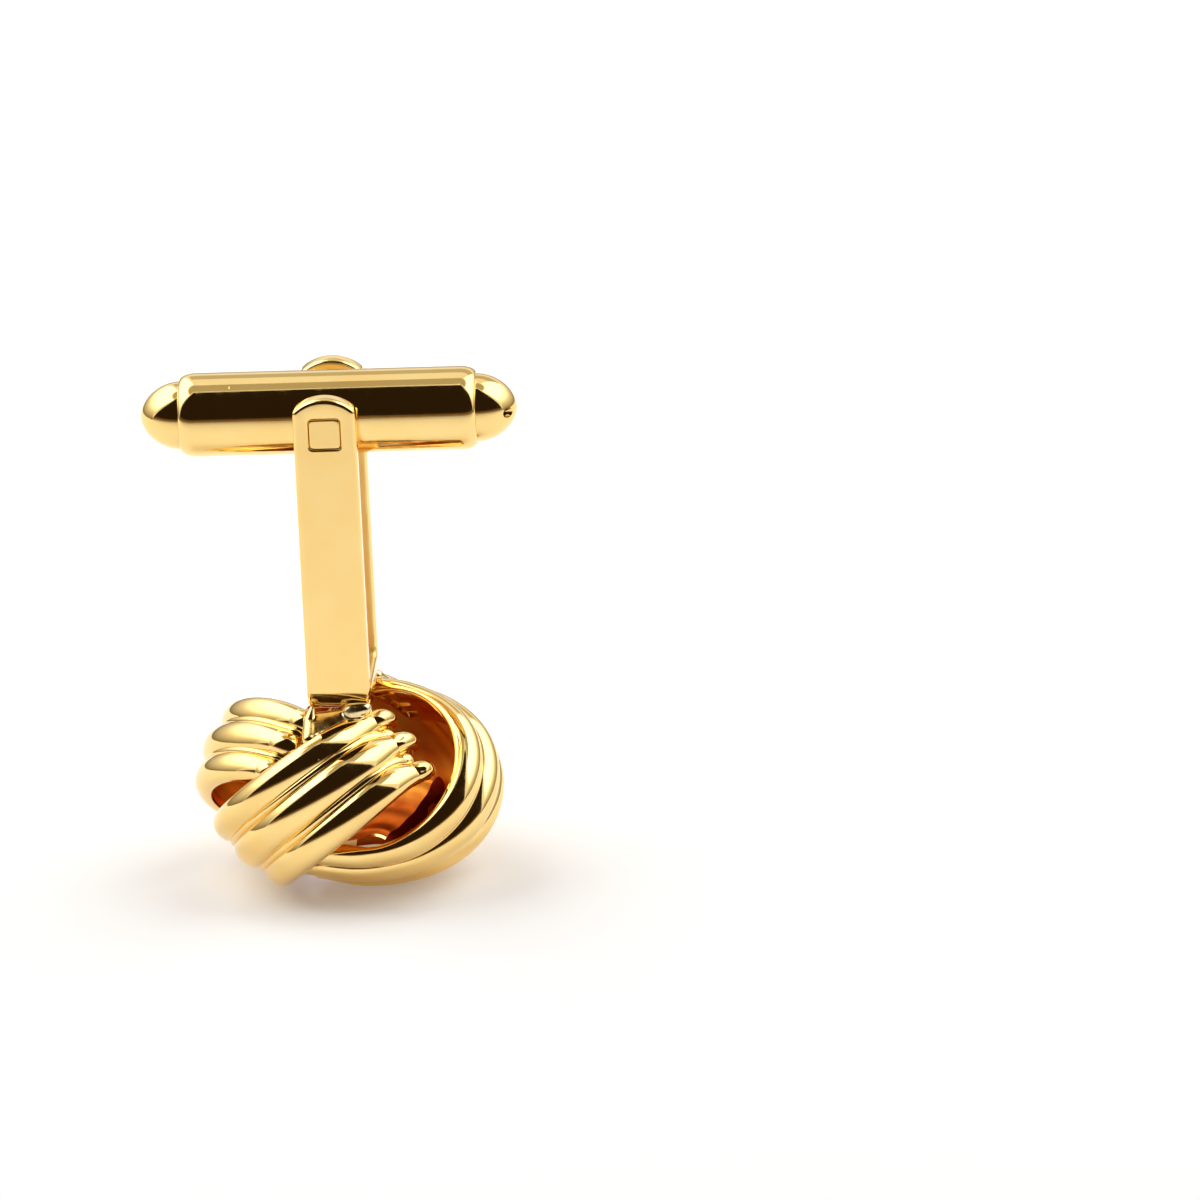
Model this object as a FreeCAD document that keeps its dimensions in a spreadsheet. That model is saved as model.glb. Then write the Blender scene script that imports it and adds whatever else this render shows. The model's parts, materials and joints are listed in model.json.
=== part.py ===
"""Knot cufflink: four fluted strips, a U-shaped frame and a swing toggle on a square pin.

Millimetres, +Z up. The knot stands on the ground on its face. The frame rises along the Z axis from the knot's
back, and the toggle lies along X on top, on a pin that runs along Y.
"""

import FreeCAD
import Part
import math
import os
import Sketcher

# Driving dimensions in millimetres, angles in degrees, shares and counts without a unit.
SIZES = {
    "knot_radius": (6.17, "knot: radius of the ball that the strips lie on"),
    "knot_half_height": (4.46, "knot: half height of that ball"),
    "strip_width": (4.76, "strip: width across its three ribs"),
    "strip_span_angle": (100.3, "strip: angle from its middle to where its path would level out"),
    "strip_rise_angle": (52.5, "strip: latitude at which its path would level out"),
    "strip_wave_share": (0.13, "strip: share of the third harmonic in its path"),
    "face_reach_angle": (106.0, "strip: angle from its middle to its cut end under the face"),
    "front_reach_angle": (60.5, "strip in front: angle from its middle to where its back end curls in"),
    "right_reach_angle": (70.0, "strip on the right: angle to where its back end curls in"),
    "behind_reach_angle": (30.0, "strip behind: angle to where its back end curls in"),
    "left_reach_angle": (70.0, "strip on the left: angle to where its back end curls in"),
    "front_turn_angle": (-25.7, "strip in front: where its middle stands round the knot, from the front"),
    "right_turn_angle": (74.3, "strip on the right: where its middle stands round the knot"),
    "behind_turn_angle": (161.3, "strip behind: where its middle stands round the knot"),
    "left_turn_angle": (244.3, "strip on the left: where its middle stands round the knot"),
    "lift_middle": (0.73, "strip: how far its middle stands out from the ball"),
    "tuck_end": (0.49, "strip: how far its ends tuck into the ball"),
    "rib_height": (0.6, "strip: height of a rib above the valleys"),
    "bead_width": (0.29, "strip: width of the bead in a valley"),
    "bead_height": (0.08, "strip: height of that bead"),
    "sheet": (0.38, "strip: thickness in the valleys"),
    "lip_depth": (0.18, "strip: how far the outer edges fold in below the valleys"),
    "curl_radius": (0.75, "strip: radius of the curl at its back end"),
    "curl_angle": (78.0, "strip: angle of that curl"),
    "curl_flat_share": (0.3, "strip: share of its bow that the curl takes out"),
    "seat_gap": (0.03, "frame: solder film between the knot and the bar"),
    "arm_width": (3.0, "frame: width of the strap"),
    "strap": (1.0, "frame: thickness of the strap"),
    "arm_gap": (4.8, "frame: clear gap between the arms"),
    "arm_top": (1.73, "frame: from the pin's axis to the top of an arm"),
    "arm_end_radius": (2.1, "frame: radius of an arm's round top"),
    "arm_corner": (0.35, "frame: rounding of the corners beside that top"),
    "arm_edge": (0.22, "frame: rounding of the strap's long edges"),
    "pivot_drop": (14.17, "frame: from the pin's axis to the underside of the bar"),
    "bend_radius": (0.45, "frame: inner radius of the strap's bends"),
    "pin_side": (1.5, "pin: side of its square"),
    "pin_journal": (0.85, "pin: radius that its corners are turned to between the arms"),
    "pin_fit": (0.01, "pin: clearance in the arms' square holes"),
    "pin_chamfer": (0.08, "pin: chamfer round each end"),
    "pivot_fit": (0.05, "pin: clearance of the turned corners in the barrel"),
    "barrel_length": (14.2, "toggle: length of the barrel"),
    "barrel_diameter": (4.0, "toggle: diameter of the barrel"),
    "barrel_wall": (0.6, "toggle: wall of the barrel"),
    "shoulder": (0.5, "toggle: rounding of the barrel's ends"),
    "dome_length": (1.88, "cap: length of the dome"),
    "dome_diameter": (3.25, "cap: diameter of the dome"),
    "vent_diameter": (0.5, "cap: diameter of the vent hole"),
    "vent_offset": (0.88, "cap: from its axis to the vent hole"),
    "spigot_length": (1.2, "cap: length of the spigot in the barrel"),
    "cap_fit": (0.02, "cap: clearance of the spigot in the barrel"),
    "plunger_head": (1.5, "plunger: length of the head"),
    "plunger_stem": (0.9, "plunger: length of the stem inside the spring"),
    "plunger_fit": (0.05, "plunger: clearance of the head in the barrel"),
    "plunger_lift": (0.02, "plunger: clearance between its face and the pin's corners"),
    "spring_wire": (0.3, "spring: diameter of the wire"),
    "spring_fit": (0.12, "spring: clearance of the coil in the barrel"),
    "spring_turns": (4, "spring: count of turns"),
    "spring_seat": (0.03, "spring: clearance to the plunger and the spigot"),
    "overrun": (1.0, "all cuts: how far a cutter runs past what it cuts"),
}
STRIP_SIDES = ("front", "right", "behind", "left")
RIBS = 3
STRIP_SECTIONS = 11
CURL_SECTIONS = 3
MARCH_STEPS = 12
QUARTERS = 4
COIL_SAMPLES = 12
EDGE_SLACK = 0.001
MESH_SLACK = 0.04

doc = FreeCAD.newDocument("cufflink")
sheet = doc.addObject("Spreadsheet::Sheet", "sizes")


def add_size(alias, value, meaning):
    """One more row of the sheet: the meaning, the value and its alias."""
    row = sheet.getUsedRange()[1].strip("AB") if sheet.getNonEmptyCells() else "0"
    cell = str(int(row) + 1)
    sheet.set("A" + cell, meaning)
    sheet.set("B" + cell, str(value))
    sheet.setAlias("B" + cell, alias)
    doc.recompute()


for alias, (value, meaning) in SIZES.items():
    add_size(alias, value, meaning)


def size(alias):
    """A value of the sheet, as a plain number."""
    return float(sheet.get(alias))


def bind(feature, **expressions):
    """Tie properties of a feature to the sheet."""
    for name, expression in expressions.items():
        feature.setExpression(name, expression)


# The knot's strips

def strip_base(along, across):
    """Point of a strip's base: an angle along it and a distance across it, towards its upper edge.

    The path climbs over the ball's waist and levels out towards the poles. A point off the path is found by
    walking over the ball, square to the path.
    """
    radius = size("knot_radius")
    height = size("knot_half_height")
    span = math.radians(size("strip_span_angle"))
    rise = math.radians(size("strip_rise_angle"))
    wave = size("strip_wave_share")
    share = math.radians(along) / span
    quarter = share * math.pi / 2
    latitude = rise * (math.sin(quarter) + wave * math.sin(3 * quarter))
    climb = rise / span * math.pi / 2 * (math.cos(quarter) + 3 * wave * math.cos(3 * quarter))
    lift = (size("lift_middle") + size("tuck_end")) * math.cos(quarter) ** 2 - size("tuck_end")
    azimuth = math.radians(along)
    meridian = math.hypot(radius * math.sin(latitude), height * math.cos(latitude))
    heading = math.atan2(meridian * climb, radius * math.cos(latitude)) + math.pi / 2
    step = across / MARCH_STEPS
    for _ in range(MARCH_STEPS):
        meridian = math.hypot(radius * math.sin(latitude), height * math.cos(latitude))
        turn = step * math.cos(heading) / (radius * math.cos(latitude))
        azimuth += turn
        latitude += step * math.sin(heading) / meridian
        heading += turn * math.sin(latitude)
    out = (radius + lift) * math.cos(latitude)
    up = (height + lift) * math.sin(latitude)
    return FreeCAD.Vector(out * math.sin(azimuth), -out * math.cos(azimuth), up)


class StripSection:
    """Plane of one section: across and outward directions, and the circle that the ribs stand on."""

    def __init__(self, along):
        half = size("strip_width") / 2
        low = strip_base(along, -half)
        high = strip_base(along, half)
        self.middle = strip_base(along, 0)
        self.across = (high - low).normalize()
        bow = self.middle - (low + high) * 0.5
        bow -= self.across * bow.dot(self.across)
        self.outward = FreeCAD.Vector(bow).normalize()
        self.forward = self.across.cross(self.outward)
        self.half_chord = (high - low).Length / 2
        self.bow = bow.Length

    def place(self, sideways, height, curl):
        """A point of the section, turned inwards round the curl's axis by an angle in radians."""
        arm = size("curl_radius")
        swing = self.outward * math.cos(curl) + self.forward * math.sin(curl)
        return self.middle - self.outward * arm + self.across * sideways + swing * (arm + height)


def strip_wire(section, curl):
    """Outline of a section: ribs and beads outside, a smooth wall inside and a lip on each side."""
    angle = math.radians(curl)
    flat_share = size("curl_flat_share") * abs(curl) / size("curl_angle")
    bow = section.bow * (1 - flat_share)
    chord = section.half_chord
    ring = (chord ** 2 + bow ** 2) / (2 * bow)
    half_turn = math.asin(chord / ring)
    bead_turn = size("bead_width") / ring
    rib_turn = (2 * half_turn - (RIBS - 1) * bead_turn) / RIBS
    inner_turn = half_turn - size("sheet") / ring

    def point(turn, height):
        out = ring + height
        return section.place(out * math.sin(turn), out * math.cos(turn) - ring, angle)

    edges = []
    turn = -half_turn
    outline = point(turn, -size("lip_depth"))
    for rib in range(RIBS):
        crest = point(turn + rib_turn / 2, size("rib_height"))
        turn += rib_turn
        valley = point(turn, 0 if rib < RIBS - 1 else -size("lip_depth"))
        edges.append(Part.Arc(outline, crest, valley).toShape())
        outline = valley
        if rib < RIBS - 1:
            bead = point(turn + bead_turn / 2, size("bead_height"))
            turn += bead_turn
            valley = point(turn, 0)
            edges.append(Part.Arc(outline, bead, valley).toShape())
            outline = valley
    inner_start = point(inner_turn, -size("sheet"))
    inner_end = point(-inner_turn, -size("sheet"))
    edges.append(Part.LineSegment(outline, inner_start).toShape())
    edges.append(Part.Arc(inner_start, point(0, -size("sheet")), inner_end).toShape())
    edges.append(Part.LineSegment(inner_end, point(-half_turn, -size("lip_depth"))).toShape())
    return Part.Wire(edges)


def strip_solid(back):
    """A strip with its middle at the front, lofted from its cut face end to its tips on the back."""
    face = -size("face_reach_angle")
    wires = []
    for index in range(STRIP_SECTIONS):
        along = face + (back - face) * index / (STRIP_SECTIONS - 1)
        wires.append(strip_wire(StripSection(along), 0))
    tip = StripSection(back)
    for step in range(CURL_SECTIONS):
        wires.append(strip_wire(tip, size("curl_angle") * (step + 1) / CURL_SECTIONS))
    return Part.makeLoft(wires, True)


def placed_strip(side):
    """The strip of one side, turned to its place round the knot."""
    shape = strip_solid(size(side + "_reach_angle"))
    shape.rotate(FreeCAD.Vector(), FreeCAD.Vector(0, 0, 1), size(side + "_turn_angle"))
    return shape


def bar_seat(shapes):
    """How far down the frame's bar can come onto strips, with the rise of its round bends taken off."""
    flat = size("arm_gap") / 2 - size("bend_radius")
    bend = size("bend_radius") + size("strap")
    levels = []
    for shape in shapes:
        for point in shape.tessellate(MESH_SLACK)[0]:
            past = max(abs(point.y) - flat, 0)
            if abs(point.x) < size("arm_width") / 2 and past < bend:
                levels.append(point.z - bend + math.sqrt(bend ** 2 - past ** 2))
    return max(levels)


strip_shapes = [placed_strip(side) for side in STRIP_SIDES]
lowest = min(shape.optimalBoundingBox().ZMin for shape in strip_shapes)
add_size("knot_waist", -lowest, "knot: height of its waist above the ground, measured")
add_size("knot_top", bar_seat(strip_shapes) - lowest, "knot: height of its ribs at the frame's bar, measured")
pivot_height = size("knot_top") + size("seat_gap") + size("pivot_drop")
add_size("pivot_height", pivot_height, "toggle: height of the pin's axis")


def make_strip(number):
    """A strip of the knot, lifted so that the knot stands on the ground."""
    strip = doc.addObject("Part::Feature", f"knot_strip_{number + 1}")
    strip.Shape = strip_shapes[number]
    strip.Placement.Base.z = size("knot_waist")
    return strip


# Helpers for bodies made from sketches

def new_body(name):
    """A body whose own origin lies on the pin's axis."""
    body = doc.addObject("PartDesign::Body", name)
    body.setExpression(".Placement.Base.z", "sizes.pivot_height")
    return body


def new_sketch(body, name, role):
    """A sketch on one of the body's own origin planes."""
    sketch = body.newObject("Sketcher::SketchObject", name)
    plane = next(part for part in body.Origin.OriginFeatures if part.Role == role)
    sketch.AttachmentSupport = (plane, [""])
    sketch.MapMode = "FlatFace"
    return sketch


def draw_corners(sketch, corners):
    """A closed run of straight sides whose corners stand where pairs of expressions say."""
    places = []
    for corner in corners:
        right, up = (float(sketch.evalExpression(expression)) for expression in corner)
        places.append(FreeCAD.Vector(right, up, 0))
    count = len(places)
    for index in range(count):
        sketch.addGeometry(Part.LineSegment(places[index], places[(index + 1) % count]))
    for index in range(count):
        sketch.addConstraint(Sketcher.Constraint("Coincident", index, 2, (index + 1) % count, 1))
    for index, (place, (right, up)) in enumerate(zip(places, corners)):
        for kind, value, expression in (("DistanceX", place.x, right), ("DistanceY", place.y, up)):
            number = sketch.addConstraint(Sketcher.Constraint(kind, -1, 1, index, 1, value))
            sketch.setExpression(f"Constraints[{number}]", expression)


def draw_circle(sketch, radius):
    """A circle round the sketch's origin."""
    start = float(sketch.evalExpression(radius))
    index = sketch.addGeometry(Part.Circle(FreeCAD.Vector(), FreeCAD.Vector(0, 0, 1), start))
    sketch.addConstraint(Sketcher.Constraint("Coincident", index, 3, -1, 1))
    number = sketch.addConstraint(Sketcher.Constraint("Radius", index, start))
    sketch.setExpression(f"Constraints[{number}]", radius)


def rectangle(half_x, half_y):
    """Corners of a rectangle round the sketch's origin."""
    signs = ((-1, -1), (1, -1), (1, 1), (-1, 1))
    return [(f"{x} * ({half_x})", f"{y} * ({half_y})") for x, y in signs]


def edge_names(feature, test):
    """Names of the edges of a feature whose box passes a test."""
    edges = feature.Shape.Edges
    return [f"Edge{number}" for number, edge in enumerate(edges, start=1) if test(edge.BoundBox)]


def along_x(box):
    return max(box.YLength, box.ZLength) < EDGE_SLACK


def along_y(box):
    return max(box.XLength, box.ZLength) < EDGE_SLACK


def round_edges(body, name, feature, test, radius):
    """Round the edges of a feature that pass a test."""
    rounding = body.newObject("PartDesign::Fillet", name)
    rounding.Base = (feature, edge_names(feature, test))
    bind(rounding, Radius=radius)
    doc.recompute()
    return rounding


# The frame

def draw_arm_end(sketch):
    """What is cut off above an arm's round top: an arc below, straight sides and a straight line above."""
    radius = size("arm_end_radius")
    middle = size("arm_top") - radius
    half = (size("arm_width") / 2 + radius) / 2
    above = size("arm_top") + 2 * size("overrun")
    start = math.acos(half / radius)
    circle = Part.Circle(FreeCAD.Vector(0, middle, 0), FreeCAD.Vector(0, 0, 1), radius)
    side = middle + radius * math.sin(start)
    corners = [(half, side), (half, above), (-half, above), (-half, side)]
    places = [FreeCAD.Vector(right, up, 0) for right, up in corners]
    sketch.addGeometry(Part.ArcOfCircle(circle, start, math.pi - start))
    for first, last in zip(places, places[1:]):
        sketch.addGeometry(Part.LineSegment(first, last))
    joins = ((0, 1, 1, 1), (1, 2, 2, 1), (2, 2, 3, 1), (3, 2, 0, 2))
    for join in joins:
        sketch.addConstraint(Sketcher.Constraint("Coincident", *join))
    for kind, line in (("Vertical", 1), ("Horizontal", 2), ("Vertical", 3)):
        sketch.addConstraint(Sketcher.Constraint(kind, line))
    sketch.addConstraint(Sketcher.Constraint("PointOnObject", 0, 3, -2))
    half_width = "(sizes.arm_width / 2 + sizes.arm_end_radius) / 2"
    measures = (
        (Sketcher.Constraint("Radius", 0, radius), "sizes.arm_end_radius"),
        (Sketcher.Constraint("DistanceY", -1, 1, 0, 3, middle), "sizes.arm_top - sizes.arm_end_radius"),
        (Sketcher.Constraint("DistanceX", -1, 1, 1, 1, half), half_width),
        (Sketcher.Constraint("DistanceX", -1, 1, 3, 1, -half), f"-{half_width}"),
        (Sketcher.Constraint("DistanceY", -1, 1, 2, 1, above), "sizes.arm_top + 2 * sizes.overrun"),
    )
    for constraint, expression in measures:
        sketch.setExpression(f"Constraints[{sketch.addConstraint(constraint)}]", expression)


def make_frame():
    """The U-shaped strap: a profile padded to the strap's width, bends, round arm ends and square holes."""
    body = new_body("u_frame")
    outer = "sizes.arm_gap / 2 + sizes.strap"
    inner = "sizes.arm_gap / 2"
    top = "sizes.arm_top + sizes.overrun"
    under = "-sizes.pivot_drop"
    seat = "sizes.strap - sizes.pivot_drop"
    profile = new_sketch(body, "frame_profile", "YZ_Plane")
    right_side = [(outer, under), (outer, top), (inner, top), (inner, seat)]
    left_side = [(f"-({across})", up) for across, up in reversed(right_side)]
    draw_corners(profile, right_side + left_side)
    strap = body.newObject("PartDesign::Pad", "frame_strap")
    strap.Profile = profile
    strap.SideType = "Symmetric"
    bind(strap, Length="sizes.arm_width")
    doc.recompute()

    seat_level = size("strap") - size("pivot_drop")
    half_strap = size("strap") / 2

    def inner_bend(box):
        return along_x(box) and abs(box.Center.z - seat_level) < half_strap

    def outer_bend(box):
        return along_x(box) and box.Center.z < seat_level - half_strap

    def arm_corner(box):
        return along_y(box) and box.Center.z > 0

    inner_bends = round_edges(body, "frame_inner_bends", strap, inner_bend, "sizes.bend_radius")
    outer_radius = "sizes.bend_radius + sizes.strap"
    outer_bends = round_edges(body, "frame_outer_bends", inner_bends, outer_bend, outer_radius)
    end_sketch = new_sketch(body, "frame_end_outline", "XZ_Plane")
    draw_arm_end(end_sketch)
    arm_tops = body.newObject("PartDesign::Pocket", "frame_arm_tops")
    arm_tops.Profile = end_sketch
    arm_tops.SideType = "Symmetric"
    bind(arm_tops, Length="sizes.arm_gap + 2 * sizes.strap + 2 * sizes.overrun")
    doc.recompute()
    arm_ends = round_edges(body, "frame_arm_ends", arm_tops, arm_corner, "sizes.arm_corner")
    side = size("arm_width") / 2

    def long_edge(box):
        return abs(abs(box.Center.x) - side) < EDGE_SLACK and box.XLength < EDGE_SLACK

    round_edges(body, "frame_long_edges", arm_ends, long_edge, "sizes.arm_edge")

    hole_half = "sizes.pin_side / 2 + sizes.pin_fit"
    hole_sketch = new_sketch(body, "frame_hole_outline", "XZ_Plane")
    draw_corners(hole_sketch, rectangle(hole_half, hole_half))
    holes = body.newObject("PartDesign::Pocket", "frame_holes")
    holes.Profile = hole_sketch
    holes.SideType = "Symmetric"
    bind(holes, Length="sizes.arm_gap + 2 * sizes.strap + 2 * sizes.overrun")
    doc.recompute()
    return body


# The pin

def make_pin():
    """A square pin with its corners turned down between the arms and its ends chamfered."""
    body = new_body("pivot_pin")
    square = new_sketch(body, "pin_square", "XZ_Plane")
    draw_corners(square, rectangle("sizes.pin_side / 2", "sizes.pin_side / 2"))
    bar = body.newObject("PartDesign::Pad", "pin_bar")
    bar.Profile = square
    bar.SideType = "Symmetric"
    bind(bar, Length="sizes.arm_gap + 2 * sizes.strap")
    ring = new_sketch(body, "pin_journal_outline", "XZ_Plane")
    draw_circle(ring, "sizes.pin_journal")
    draw_circle(ring, "sizes.pin_side + sizes.overrun")
    journal = body.newObject("PartDesign::Pocket", "pin_journal")
    journal.Profile = ring
    journal.SideType = "Symmetric"
    bind(journal, Length="sizes.arm_gap")
    doc.recompute()
    end_level = size("arm_gap") / 2 + size("strap") / 2

    def end_edge(box):
        return box.YLength < size("pin_chamfer") and abs(box.Center.y) > end_level

    chamfer = body.newObject("PartDesign::Chamfer", "pin_ends")
    chamfer.Base = (journal, edge_names(journal, end_edge))
    bind(chamfer, Size="sizes.pin_chamfer")
    doc.recompute()
    return body


# The toggle

BORE_RADIUS = "(sizes.barrel_diameter / 2 - sizes.barrel_wall)"


def make_barrel():
    """A tube along X with rounded shoulders, cross-bored for the pin."""
    body = new_body("toggle_barrel")
    half = "sizes.barrel_length / 2"
    outer = "sizes.barrel_diameter / 2"
    wall = new_sketch(body, "barrel_wall_outline", "XZ_Plane")
    draw_corners(wall, [(f"-{half}", BORE_RADIUS), (half, BORE_RADIUS), (half, outer), (f"-{half}", outer)])
    tube = body.newObject("PartDesign::Revolution", "barrel_tube")
    tube.Profile = wall
    tube.ReferenceAxis = (wall, ["H_Axis"])
    tube.Angle = 360
    doc.recompute()
    wide = size("barrel_diameter") - size("barrel_wall")

    def shoulder_edge(box):
        return box.XLength < size("shoulder") and box.YLength > wide

    shoulders = round_edges(body, "barrel_shoulders", tube, shoulder_edge, "sizes.shoulder")
    hole = new_sketch(body, "barrel_hole_outline", "XZ_Plane")
    draw_circle(hole, "sizes.pin_journal + sizes.pivot_fit")
    bore = body.newObject("PartDesign::Pocket", "barrel_hole")
    bore.Profile = hole
    bore.SideType = "Symmetric"
    bind(bore, Length="sizes.barrel_diameter + 2 * sizes.overrun")
    doc.recompute()
    solid = shoulders.Shape.Volume
    if not bore.Shape.Volume < solid:
        raise RuntimeError("the cross bore cuts nothing")
    return body


def toggle_side(feature, side, distance):
    """Lay a feature made along Z on the toggle's axis, facing outwards on one side."""
    feature.Placement.Rotation = FreeCAD.Rotation(FreeCAD.Vector(0, 1, 0), 90 * side)
    feature.setExpression(".Placement.Base.x", f"{side} * ({distance})")
    feature.setExpression(".Placement.Base.z", "sizes.pivot_height")


def cylinder(name, radius, length, start):
    """A cylinder along Z from a start height."""
    solid = doc.addObject("Part::Cylinder", name)
    bind(solid, Radius=radius, Height=length)
    solid.setExpression(".Placement.Base.z", start)
    return solid


def boolean(kind, name, base, tool):
    """A cut or a fusion of two solids."""
    result = doc.addObject(kind, name)
    result.Base = base
    result.Tool = tool
    return result


def make_cap(name, side):
    """A domed cap with a spigot for the barrel and a vent hole through both."""
    dome = doc.addObject("Part::Ellipsoid", name + "_dome")
    dome.Angle1 = 0
    bind(dome, Radius1="sizes.dome_length", Radius2="sizes.dome_diameter / 2")
    spigot_radius = BORE_RADIUS + " - sizes.cap_fit"
    spigot = cylinder(name + "_spigot", spigot_radius, "sizes.spigot_length", "-sizes.spigot_length")
    vent_length = "sizes.spigot_length + sizes.dome_length + 2 * sizes.overrun"
    vent_start = "-sizes.spigot_length - sizes.overrun"
    vent = cylinder(name + "_vent", "sizes.vent_diameter / 2", vent_length, vent_start)
    vent.setExpression(".Placement.Base.y", f"-({side}) * sizes.vent_offset")
    blank = boolean("Part::Fuse", name + "_blank", dome, spigot)
    cap = boolean("Part::Cut", name, blank, vent)
    toggle_side(cap, side, "sizes.barrel_length / 2")
    return cap


def make_plunger(name, side):
    """A piston: a head that slides in the barrel and a stem that centres the spring."""
    head = cylinder(name + "_head", BORE_RADIUS + " - sizes.plunger_fit", "sizes.plunger_head", "0")
    stem_radius = BORE_RADIUS + " - sizes.spring_fit - 2 * sizes.spring_wire"
    stem_length = "sizes.plunger_head + sizes.plunger_stem"
    stem = cylinder(name + "_stem", stem_radius, stem_length, "0")
    plunger = boolean("Part::Fuse", name, head, stem)
    toggle_side(plunger, side, "sizes.pin_journal + sizes.plunger_lift")
    return plunger


def biarc(start, end, start_way, end_way):
    """Two arcs that leave one point and reach another along given directions."""
    chord = end - start
    ways = start_way + end_way
    bend = 2 * (1 - start_way.dot(end_way))
    along = chord.dot(ways)
    reach = (math.sqrt(along ** 2 + bend * chord.dot(chord)) - along) / bend
    middle = (start + end + (start_way - end_way) * reach) * 0.5
    middle_way = (end - end_way * reach - start - start_way * reach).normalize()
    arcs = []
    for low, high, way in ((start, middle, start_way), (middle, end, middle_way)):
        run = high - low
        side = run - way * run.dot(way)
        bulge = run.Length / 2 * math.tan(math.atan2(side.Length, run.dot(way)) / 2)
        square = (way * run.dot(run) - run * run.dot(way)).normalize()
        arcs.append(Part.Arc(low, (low + high) * 0.5 + square * bulge, high))
    return arcs


def make_spring(name, side):
    """A coil between the piston's head and the cap's spigot."""
    wire_radius = size("spring_wire") / 2
    bore = size("barrel_diameter") / 2 - size("barrel_wall")
    coil_radius = bore - size("spring_fit") - wire_radius
    front = size("pin_journal") + size("plunger_lift") + size("plunger_head")
    back = size("barrel_length") / 2 - size("spigot_length")
    end_room = size("spring_seat") + wire_radius
    length = back - front - 2 * end_room
    quarters = int(size("spring_turns")) * QUARTERS
    pitch = length / size("spring_turns")
    climb = pitch / (2 * math.pi)

    def on_coil(turn):
        place = FreeCAD.Vector(coil_radius * math.cos(turn), coil_radius * math.sin(turn), climb * turn)
        way = FreeCAD.Vector(-coil_radius * math.sin(turn), coil_radius * math.cos(turn), climb)
        return place, way.normalize()

    arcs = []
    for quarter in range(quarters):
        start, start_way = on_coil(quarter * math.pi / 2)
        end, end_way = on_coil((quarter + 1) * math.pi / 2)
        arcs += biarc(start, end, start_way, end_way)
    path = Part.Wire([arc.toShape() for arc in arcs])
    start, start_way = on_coil(0)
    section = Part.Wire([Part.Circle(start, start_way, wire_radius).toShape()])
    spring = doc.addObject("Part::Feature", name)
    spring.Shape = path.makePipeShell([section], True, False)
    toggle_side(spring, side, f"{front + end_room}")
    steps = quarters * COIL_SAMPLES // 2
    samples = [on_coil(step * math.pi / COIL_SAMPLES)[0] for step in range(steps + 1)]
    apart = [
        (samples[far] - samples[near]).Length
        for near in range(len(samples))
        for far in range(near + COIL_SAMPLES, len(samples))
    ]
    straight_volume = math.pi * wire_radius ** 2 * sum(arc.length() for arc in arcs)
    print(name, "least gap of the coil to itself", round(min(apart) - 2 * wire_radius, 3), "mm,",
          "volume over section times length", round(spring.Shape.Volume / straight_volume, 4))
    return spring


nodes = [make_strip(number) for number in range(len(STRIP_SIDES))]
nodes += [make_frame(), make_pin(), make_barrel()]
for word, side in (("left", -1), ("right", 1)):
    nodes.append(make_cap("toggle_cap_" + word, side))
    nodes.append(make_plunger("detent_plunger_" + word, side))
    nodes.append(make_spring("detent_spring_" + word, side))
doc.recompute()

for item in doc.Objects:
    if "Invalid" in item.State or "Error" in item.State:
        raise RuntimeError(f"{item.Label} failed: {item.State}")
os.makedirs("parts", exist_ok=True)
for node in nodes:
    node.Label = node.Name
    if node.Shape.isNull() or not node.Shape.isValid():
        raise RuntimeError(f"{node.Label} has no valid shape")
for node in nodes:
    node.Shape.exportStep(f"parts/{node.Label}.step")
    print(node.Label, "volume", round(node.Shape.Volume, 2), "faces", len(node.Shape.Faces))
for alias in ("knot_waist", "knot_top", "pivot_height"):
    print(alias, round(size(alias), 4))
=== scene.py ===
# %% [markdown]
# # A knot cufflink in polished gold
# Four fluted strips are woven into a knot, a bent strap stands on its back, and a toggle swings on a square
# pin. The solids come from the CAD model, so every piece here is made in the same frame, in metres. Polished
# metal shows every flat of a mesh, so the strips, the strap and the toggle are modelled again, smoothly.

import json
import math

import bmesh
import bpy
from mathutils import Matrix, Vector

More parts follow.
